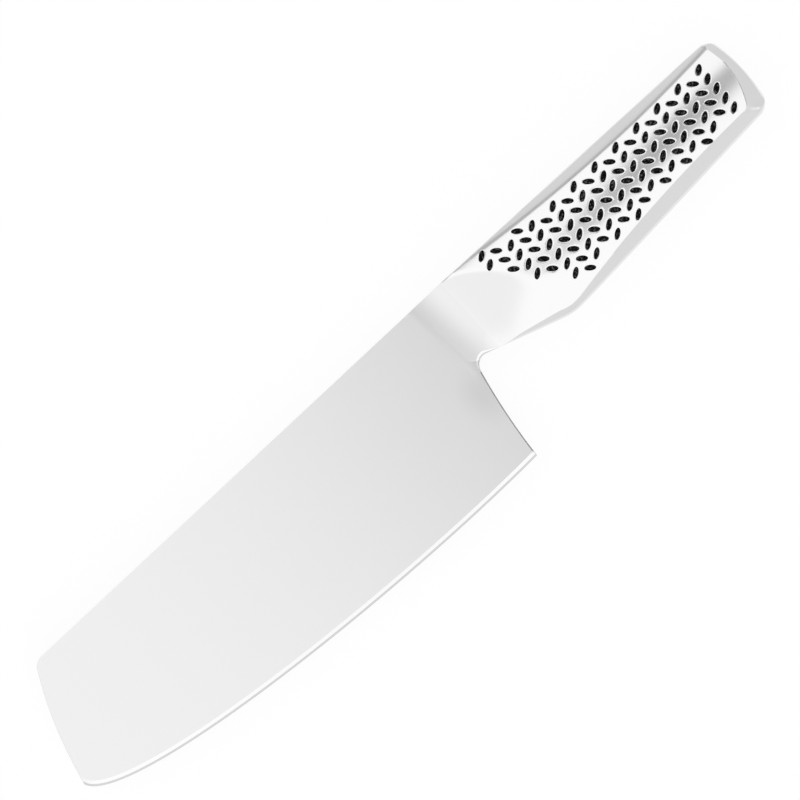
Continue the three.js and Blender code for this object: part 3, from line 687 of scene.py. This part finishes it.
def dent_points(name):
    """Points of the dents on the left crown, each with its outward direction and its long one."""
    seats, outward, lengthwise = [], [], []
    columns = int((HANDLE_LENGTH - DENT_FIELD_START - DENT_FIELD_END) / DENT_COLUMN_PITCH) + 1
    for column in range(columns):
        x = NOSE_X + DENT_FIELD_START + column * DENT_COLUMN_PITCH
        odd = column % 2
        lean = DENT_LEAN if odd else -DENT_LEAN
        for row in range(-DENT_ROWS_EACH_WAY, DENT_ROWS_EACH_WAY + 1):
            distance = (row + odd / 2) * DENT_ROW_PITCH
            y = -CROWN_AXIS_DEPTH + CROWN_RADIUS * math.sin(distance / CROWN_RADIUS)
            if not takes_dent(x, y):
                continue
            out = square_to_crown(x, y)
            across = unit(np.array([0, 1, 0]) - out * out[1])
            seats.append((x, y, crown_height(x, y)))
            outward.append(out)
            lengthwise.append(np.cross(across, out) * math.cos(lean) + across * math.sin(lean))
    mesh = bpy.data.meshes.new(name)
    mesh.from_pydata(placed(seats).tolist(), [], [])
    for attribute, vectors in (("outward", outward), ("lengthwise", lengthwise)):
        layer = mesh.attributes.new(attribute, "FLOAT_VECTOR", "POINT")
        layer.data.foreach_set("vector", np.array(vectors).ravel())
    points = bpy.data.objects.new(name, mesh)
    bpy.context.collection.objects.link(points)
    return points


def oval_solid(name, profile):
    """Oval solid about the origin, from rings given as an offset from the dent's outline and a height."""
    turn = np.arange(DENT_SIDES) * 2 * math.pi / DENT_SIDES
    rings = []
    for offset, height in profile:
        long, wide = DENT_LENGTH / 2 + offset, DENT_WIDTH / 2 + offset
        ring = [long * np.cos(turn), wide * np.sin(turn), np.full(DENT_SIDES, height)]
        rings.append(np.column_stack(ring) * MM)
    return loft(name, rings)


def shape_tree(name, inputs):
    """Geometry tree with named inputs, and its group input as the sockets to start from."""
    tree = bpy.data.node_groups.new(name, "GeometryNodeTree")
    graph = Graph(tree)
    for label, kind in inputs.items():
        tree.interface.new_socket(label, in_out="INPUT", socket_type=kind)
    tree.interface.new_socket("Geometry", in_out="OUTPUT", socket_type="NodeSocketGeometry")
    return graph, graph.node("NodeGroupInput", {}, {})


def end_tree(graph, geometry, finish):
    """Ends a geometry tree with one plain mesh and its finish."""
    whole = graph.node("GeometryNodeRealizeInstances", {}, {"Geometry": geometry})
    done = graph.node("GeometryNodeSetMaterial", {}, {"Geometry": whole, "Material": finish})
    graph.node("NodeGroupOutput", {}, {"Geometry": done})


def dent_instances(graph, points, shape):
    """Copies of an oval solid on the dents' points, turned to stand square on the crown."""
    vector = {"data_type": "FLOAT_VECTOR"}
    outward = graph.node("GeometryNodeInputNamedAttribute", vector, {"Name": "outward"})
    lengthwise = graph.node("GeometryNodeInputNamedAttribute", vector, {"Name": "lengthwise"})
    axes = {"primary_axis": "Z", "secondary_axis": "X"}
    turn = {"Primary Axis": outward, "Secondary Axis": lengthwise}
    turn = graph.node("FunctionNodeAxesToRotation", axes, turn)
    oval = graph.node("GeometryNodeObjectInfo", {}, {"Object": shape}).out("Geometry")
    copies = {"Points": points, "Instance": oval, "Rotation": turn}
    return graph.node("GeometryNodeInstanceOnPoints", {}, copies)


def shaped(piece, tree, settings):
    """Runs a geometry tree on a piece and keeps the result as the piece's plain mesh."""
    modifier = piece.modifiers.new(tree.name, "NODES")
    modifier.node_group = tree
    for item in tree.interface.items_tree:
        if item.in_out == "INPUT" and item.name in settings:
            modifier[item.identifier] = settings[item.name]
    evaluated = piece.evaluated_get(bpy.context.evaluated_depsgraph_get())
    piece.data = bpy.data.meshes.new_from_object(evaluated)
    piece.modifiers.clear()


def put_away(*helpers):
    for helper in helpers:
        bpy.data.objects.remove(helper)


def mirrored(piece, name):
    """Mirror image of a piece on the knife's other flank, turned right side out."""
    twin = bpy.data.objects.new(name, piece.data.copy())
    middle = Matrix.Translation((0, 0, 2 * knife_origin[2]))
    twin.data.transform(middle @ Matrix.Diagonal((1, 1, -1, 1)))
    twin.data.flip_normals()
    bpy.context.collection.objects.link(twin)
    return twin


press, given = shape_tree("press_shell", {
    "Geometry": "NodeSocketGeometry",
    "Hollow": "NodeSocketObject",
    "Dents": "NodeSocketObject",
    "Dent shape": "NodeSocketObject",
    "Pocket size": "NodeSocketVector",
    "Pocket place": "NodeSocketVector",
    "Finish": "NodeSocketMaterial",
})
core = press.node("GeometryNodeObjectInfo", {}, {"Object": given.out("Hollow")}).out("Geometry")
seats = press.node("GeometryNodeObjectInfo", {}, {"Object": given.out("Dents")}).out("Geometry")
ovals = dent_instances(press, seats, given.out("Dent shape"))
ovals = press.node("GeometryNodeRealizeInstances", {}, {"Geometry": ovals})
block = press.node("GeometryNodeMeshCube", {}, {"Size": given.out("Pocket size")})
pocket = {"Geometry": block, "Translation": given.out("Pocket place")}
pocket = press.node("GeometryNodeTransform", {}, pocket)
cut = {"Mesh 1": given.out("Geometry"), "Mesh 2": [core, pocket, ovals]}
cut = press.node("GeometryNodeMeshBoolean", {"operation": "DIFFERENCE", "solver": "MANIFOLD"}, cut)
end_tree(press, cut, given.out("Finish"))

handle_satin = steel("handle_satin", HANDLE_TONE, HANDLE_ROUGHNESS, HANDLE_LAY, HANDLE_MOTTLE)
left_dents = dent_points("left_dents")
dent_shape = oval_solid("dent_shape", DENT_PROFILE)
pocket_low = [NOSE_X - CUT_MARGIN, -TANG_DROP - TANG_HEIGHT - FIT_GAP, -CUT_MARGIN]
pocket_high = [NOSE_X + TANG_LENGTH + FIT_GAP, -TANG_DROP + FIT_GAP, SPINE_THICKNESS / 2 + FIT_GAP]
pocket_low, pocket_high = placed(pocket_low), placed(pocket_high)
shaped(left_shell, press.tree, {
    "Hollow": hollow,
    "Dents": left_dents,
    "Dent shape": dent_shape,
    "Pocket size": (pocket_high - pocket_low).tolist(),
    "Pocket place": ((pocket_low + pocket_high) / 2).tolist(),
    "Finish": handle_satin,
})
put_away(hollow, dent_shape)
soften(left_shell, HANDLE_CREASE)
right_shell = mirrored(left_shell, "handle_shell_right_pressed")
fit(left_shell, "handle_steel", "handle_shell_left")
fit(right_shell, "handle_steel", "handle_shell_right")

# Neck welds: filler metal that joins the blade to the nose of each half shell, ground and polished into the
# scoop, from a feather edge on the blade's flank. Each is trimmed flush along the spine, choil and bolster.
# Along the choil and the bolster its corner gets a painted highlight with a line of painted shade at the
# outline, and painted shade darkens it round its toe.
FEATHER = 0.002
WELD_SINK = 0.25
SHADE_LINE = 0.5
HIGHLIGHT_BAND = 1.2
PAINTED_BAND_FADE = 5.0
WELD_ROWS = 80
WELD_COLUMNS = 160
WELD_TONE = 0.81
WELD_ROUGHNESS = 0.25

weld_start = CHOIL_X - SCOOP_LEAD + SCOOP_SLANT * NECK_DEPTH / 2
weld_x = weld_start + (NOSE_X - weld_start) * np.linspace(0, 1, WELD_ROWS)[:, None]
choil_top = choil_arc[np.argmin(choil_arc[:, 0]):]
weld_foot = np.interp(weld_x, [*choil_top[:, 0], NOSE_X], [*choil_top[:, 1], bolster_line(NOSE_X)])
weld_shares = close_at_ends(WELD_COLUMNS)
weld_y = weld_foot * weld_shares
weld_x = np.broadcast_to(weld_x, weld_y.shape)
spine_side = spine_rim_height(weld_x, spine_line(weld_x) - weld_y)
belly_side = belly_rim_height(weld_x, from_below(weld_x, weld_y, belly_line(weld_x)))
weld_height = creased(body_height(weld_x, weld_y), spine_side, CREASE_SOFTNESS)
weld_height = np.maximum(np.minimum(weld_height, belly_side), flank_height(weld_x, weld_y) + FEATHER)


def on_flank(ring):
    """Ring straight below another, sunk a little into the blade's flank."""
    return np.column_stack([ring[:, :2], flank_height(ring[:, 0], ring[:, 1]) - WELD_SINK])


weld_grid = np.stack([weld_x, weld_y, weld_height], axis=-1)
left_neck_weld = slab("neck_weld_left_ground", weld_grid, [on_flank])
nose_x = placed([NOSE_X, 0, 0])[0]
finer = WELD_ROUGHNESS - HANDLE_ROUGHNESS
weld_satin = steel("weld_satin", WELD_TONE, WELD_ROUGHNESS, HANDLE_LAY, HANDLE_MOTTLE, PAINTED_SHADE_DEPTH, finer, nose_x)
for finish in (weld_satin, painted_bevel_highlight, painted_edge_shade):
    left_neck_weld.data.materials.append(finish)
# Along the choil and the bolster a band of the weld gets the painted highlight, with a line of painted shade
# at its outline.
above_foot = (1 - weld_shares[1:]) * NECK_DEPTH
for row in np.flatnonzero(weld_x[1:, 0] > choil_top[0, 0]):
    fading = min(1, (NOSE_X - weld_x[row, 0]) / PAINTED_BAND_FADE)
    for column in np.flatnonzero(above_foot < HIGHLIGHT_BAND * fading):
        face = left_neck_weld.data.polygons[int(row * len(above_foot) + column)]
        face.material_index = SHADE_SLOT if above_foot[column] < SHADE_LINE * fading else HIGHLIGHT_SLOT
soften(left_neck_weld, HANDLE_CREASE)
right_neck_weld = mirrored(left_neck_weld, "neck_weld_right_ground")
fit(left_neck_weld, "weld_steel", "neck_weld_left")
fit(right_neck_weld, "weld_steel", "neck_weld_right")

# Seam welds: three runs of filler metal that close the seam between the half shells, along the spine, round
# the butt and along the belly. Each is a wedge between the shells' chamfers, its face ground flush.
SECTION_MERGE = 0.01
SEAM_CREASE = 30

seam_sweep, given = shape_tree("seam_sweep", {
    "Geometry": "NodeSocketGeometry",
    "Width": "NodeSocketFloat",
    "Depth": "NodeSocketFloat",
    "Finish": "NodeSocketMaterial",
})
path = seam_sweep.node("GeometryNodeMeshToCurve", {}, {"Mesh": given.out("Geometry")})
path = seam_sweep.node("GeometryNodeSetCurveNormal", {"mode": "Z_UP"}, {"Curve": path})
half = given.out("Width") * 0.5
corner_type = "ShaderNodeCombineXYZ"
face_high = seam_sweep.node(corner_type, {}, {"Y": half})
face_low = seam_sweep.node(corner_type, {}, {"Y": 0 - half})
root = seam_sweep.node(corner_type, {}, {"X": given.out("Depth")})
line = seam_sweep.node("GeometryNodeCurvePrimitiveLine", {}, {"Start": face_high, "End": face_low})
bend = seam_sweep.node("GeometryNodeCurvePrimitiveLine", {}, {"Start": face_low, "End": root})
section = seam_sweep.node("GeometryNodeJoinGeometry", {}, {"Geometry": [line, bend]})
section = seam_sweep.node("GeometryNodeCurveToMesh", {}, {"Curve": section})
section = {"Geometry": section, "Distance": SECTION_MERGE * MM}
section = seam_sweep.node("GeometryNodeMergeByDistance", {}, section)
section = seam_sweep.node("GeometryNodeMeshToCurve", {}, {"Mesh": section})
section = seam_sweep.node("GeometryNodeSetSplineCyclic", {}, {"Geometry": section, "Cyclic": True})
run = {"Curve": path, "Profile Curve": section, "Fill Caps": True}
run = seam_sweep.node("GeometryNodeCurveToMesh", {}, run)
end_tree(seam_sweep, run, given.out("Finish"))

straight = len(straight_rows)
butt_run = [
    outer_grid[straight - 1:, 0, :2],
    outer_grid[-1, 1:-1, :2],
    outer_grid[straight - 1:, -1, :2][::-1],
]
seam_runs = {
    "spine_seam_weld": outer_grid[:straight, 0, :2],
    "butt_seam_weld": np.concatenate(butt_run),
    "belly_seam_weld": outer_grid[:straight, -1, :2][::-1],
}
for name, run in seam_runs.items():
    mesh = bpy.data.meshes.new(name + "_ground")
    links = [(k, k + 1) for k in range(len(run) - 1)]
    mesh.from_pydata(placed(np.insert(run, 2, 0, axis=1)).tolist(), links, [])
    weld = bpy.data.objects.new(name + "_ground", mesh)
    bpy.context.collection.objects.link(weld)
    settings = {"Width": SEAM_WELD_WIDTH * MM, "Depth": SEAM_WELD_DEPTH * MM, "Finish": weld_satin}
    shaped(weld, seam_sweep.tree, settings)
    soften(weld, SEAM_CREASE)
    fit(weld, "weld_steel", name)

# Sand: the loose dry charge that balances the knife, settled in the hollow of the handle. It keeps the shape
# of its solid and only gets its grain.
GRAIN_FREQUENCY = 3000.0
PALE_GRAIN = 0.78, 0.69, 0.52, 1
DARK_GRAIN = 0.55, 0.46, 0.32, 1
GRAIN_RELIEF = {"Strength": 0.6, "Distance": 0.3 * MM}
SAND_ROUGHNESS = 0.95

sand_grain, graph = new_material("dry_sand")
place = graph.node("ShaderNodeTexCoord", {}, {}).out("Object")
grains = graph.node("ShaderNodeTexVoronoi", {}, {"Vector": place, "Scale": GRAIN_FREQUENCY})
from_grain = grains.out("Distance")
tones = graph.mix(from_grain, PALE_GRAIN, DARK_GRAIN)
heaped = graph.node("ShaderNodeBump", {}, {"Height": from_grain, **GRAIN_RELIEF})
loose = {"Base Color": tones, "Roughness": SAND_ROUGHNESS, "Normal": heaped}
loose = graph.node("ShaderNodeBsdfPrincipled", {}, loose)
graph.node("ShaderNodeOutputMaterial", {}, {"Surface": loose})
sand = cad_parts["sand_charge"]
sand.data.materials.clear()
sand.data.materials.append(sand_grain)

# Grip enamel: black enamel baked into every dent, a thin film that sags a little between the dent's walls.
# It is wiped level below the lips, so that each oval keeps a bright rim.
FILM_PROFILE = [(-0.13, -0.44), (0.012, -0.13), (-0.2, -0.17), (-0.55, -0.2)]
FILM_CREASE = 40
ENAMEL_BLACK = 0.002, 0.002, 0.0022, 1
ENAMEL_ROUGHNESS = 0.4
ENAMEL_SPECULAR = 0.04
# Grey specks in the black enamel are painted highlights, for small glints in the dents; the same specks
# roughen the film a little.
GLINT_SPECKS = {"Scale": 1500.0, "Detail": 3.0}
GLINT_FADE = 0.5, 0.7
GLINT_TONE = 0.1
GLINT_ROUGHENING = 0.2

enamel, graph = new_material("black_enamel")
place = graph.node("ShaderNodeTexCoord", {}, {}).out("Object")
glints = graph.node("ShaderNodeTexNoise", {}, {"Vector": place, **GLINT_SPECKS})
baked = graph.node("ShaderNodeBsdfPrincipled", {}, {
    "Base Color": graph.mix(graph.fade(glints, *GLINT_FADE), ENAMEL_BLACK, grey(GLINT_TONE)),
    "Roughness": ENAMEL_ROUGHNESS + glints * GLINT_ROUGHENING,
    "Specular IOR Level": ENAMEL_SPECULAR,
})
graph.node("ShaderNodeOutputMaterial", {}, {"Surface": baked})

fill, given = shape_tree("fill_dents", {
    "Geometry": "NodeSocketGeometry",
    "Film": "NodeSocketObject",
    "Finish": "NodeSocketMaterial",
})
films = dent_instances(fill, given.out("Geometry"), given.out("Film"))
end_tree(fill, films, given.out("Finish"))
film = oval_solid("film", FILM_PROFILE)
left_dents.name = "grip_enamel_left"
shaped(left_dents, fill.tree, {"Film": film, "Finish": enamel})
put_away(film)
soften(left_dents, FILM_CREASE)
right_enamel = mirrored(left_dents, "grip_enamel_right")
fit(left_dents, "grip_enamel")
fit(right_enamel, "grip_enamel")

# Floor: a plain matte white table top that the knife lies on. It is kept white for the camera and in
# reflections, with enough of its own shade left for the knife's faint shadow.
FLOOR_HALF = 3.0
FLOOR_TONE = 0.85
GLOW_SHARE = 0.88
GLOW_LEVEL = 1.03
CORNER_SIDES = np.array([(-1, -1, 0), (1, -1, 0), (1, 1, 0), (-1, 1, 0)])

floor_mesh = bpy.data.meshes.new("floor")
floor_mesh.from_pydata((CORNER_SIDES * FLOOR_HALF).tolist(), [], [(0, 1, 2, 3)])
floor = bpy.data.objects.new("floor", floor_mesh)
bpy.context.collection.objects.link(floor)
table_white, graph = new_material("table_white")
ray = graph.node("ShaderNodeLightPath", {}, {})
seen = ray.maths("MAXIMUM", ray.out("Is Camera Ray"), ray.out("Is Glossy Ray"))
seen = ray.maths("MAXIMUM", seen, ray.out("Is Transmission Ray"))
matte = graph.node("ShaderNodeBsdfDiffuse", {}, {"Color": grey(FLOOR_TONE)})
glow = graph.node("ShaderNodeEmission", {}, {"Color": grey(1), "Strength": GLOW_LEVEL})
table = graph.node("ShaderNodeMixShader", {}, {0: seen * GLOW_SHARE, 1: matte, 2: glow})
graph.node("ShaderNodeOutputMaterial", {}, {"Surface": table})
floor_mesh.materials.append(table_white)

# Studio light: a white tent all round that dims towards the table, the tip and the butt, with a dim opening
# where the camera looks in and darker strips on the sides of the spine and of the butt.
TENT_LEVEL = 1.18
TIP_LEVEL = 1.04
TIP_FADE = 0.15, 0.4
TIP_NARROWING = 0.6
LOW_LEVEL = 0.8
LOW_FADE = 0.15, 0.4
BUTT_FADE = 0.5, 0.75
LEAST_RISE = 0.05
OPENING_LEVEL = 0.38
OPENING_CENTRE = 0.18, 0.05
OPENING_HALF = 0.17, 0.24
OPENING_SLANT = 0.9
OPENING_FADE = 0.6, 1.3
SPINE_STRIP_LEVEL = 0.5
SPINE_STRIP_START = 0.74, 0.82
SPINE_STRIP_END = 0.93, 0.98
BUTT_STRIP_LEVEL = 0.15
BUTT_STRIP_START = 0.4, 0.5
BUTT_STRIP_END = 0.65, 0.75
BUTT_STRIP_FOOT = 0.4, 0.6

world = bpy.data.worlds.new("studio")
bpy.context.scene.world = world
world.use_nodes = True
graph = Graph(world.node_tree)
sight = graph.node("ShaderNodeTexCoord", {}, {}).out("Generated")
sight = graph.node("ShaderNodeSeparateXYZ", {}, {0: sight})
to_butt, to_spine, up = sight.out("X"), sight.out("Y"), sight.out("Z")
rise = sight.maths("MAXIMUM", up, LEAST_RISE)
lean_x, lean_y = to_butt / rise, to_spine / rise
from_centre = lean_x - OPENING_CENTRE[0]
off_x = from_centre / OPENING_HALF[0]
off_y = (lean_y - from_centre * OPENING_SLANT - OPENING_CENTRE[1]) / OPENING_HALF[1]
off = sight.maths("SQRT", off_x * off_x + off_y * off_y, 0.0)
opening = 1 - graph.fade(off, *OPENING_FADE)
spine_strip = graph.fade(to_spine, *SPINE_STRIP_START) * (1 - graph.fade(to_spine, *SPINE_STRIP_END))
butt_strip = graph.fade(to_butt, *BUTT_STRIP_START) * (1 - graph.fade(to_butt, *BUTT_STRIP_END))
butt_strip = butt_strip * graph.fade(up, *BUTT_STRIP_FOOT)
sideways = sight.maths("ABSOLUTE", lean_y, 0.0)
to_tip = 0 - lean_x - sideways * TIP_NARROWING
high = TENT_LEVEL - graph.fade(to_tip, *TIP_FADE) * (TENT_LEVEL - TIP_LEVEL)
bright = graph.fade(up, *LOW_FADE) * (1 - graph.fade(to_butt, *BUTT_FADE))
wall = LOW_LEVEL + bright * (high - LOW_LEVEL)
wall = wall - spine_strip * (wall - SPINE_STRIP_LEVEL)
wall = wall - butt_strip * (wall - BUTT_STRIP_LEVEL)
level = wall - opening * (wall - OPENING_LEVEL)
ray = graph.node("ShaderNodeLightPath", {}, {})
tent = graph.node("ShaderNodeBackground", {}, {"Color": grey(1), "Strength": level})
white = graph.node("ShaderNodeBackground", {}, {"Color": grey(1), "Strength": 1.0})
sky = graph.node("ShaderNodeMixShader", {}, {0: ray.out("Is Camera Ray"), 1: tent, 2: white})
graph.node("ShaderNodeOutputWorld", {}, {"Surface": sky})

# Camera: straight above the knife and square to the table, turned so that the blade points down to the left.
# Its lens comes from the width of the view at the knife's middle plane.
CAMERA_HEIGHT = 1.0
CAMERA_TURN = math.radians(-43.05)
VIEW_WIDTH = 0.2592
VIEW_CENTRE = 0.00284, 0.01259
SENSOR = 36.0

camera_data = bpy.data.cameras.new("camera")
camera_data.sensor_width = SENSOR
camera_data.lens = SENSOR * CAMERA_HEIGHT / VIEW_WIDTH
camera = bpy.data.objects.new("camera", camera_data)
camera.location = (*VIEW_CENTRE, knife_origin[2] + CAMERA_HEIGHT)
camera.rotation_euler = (0, 0, CAMERA_TURN)
bpy.context.collection.objects.link(camera)
bpy.context.scene.camera = camera
bpy.context.scene.view_settings.view_transform = "Standard"
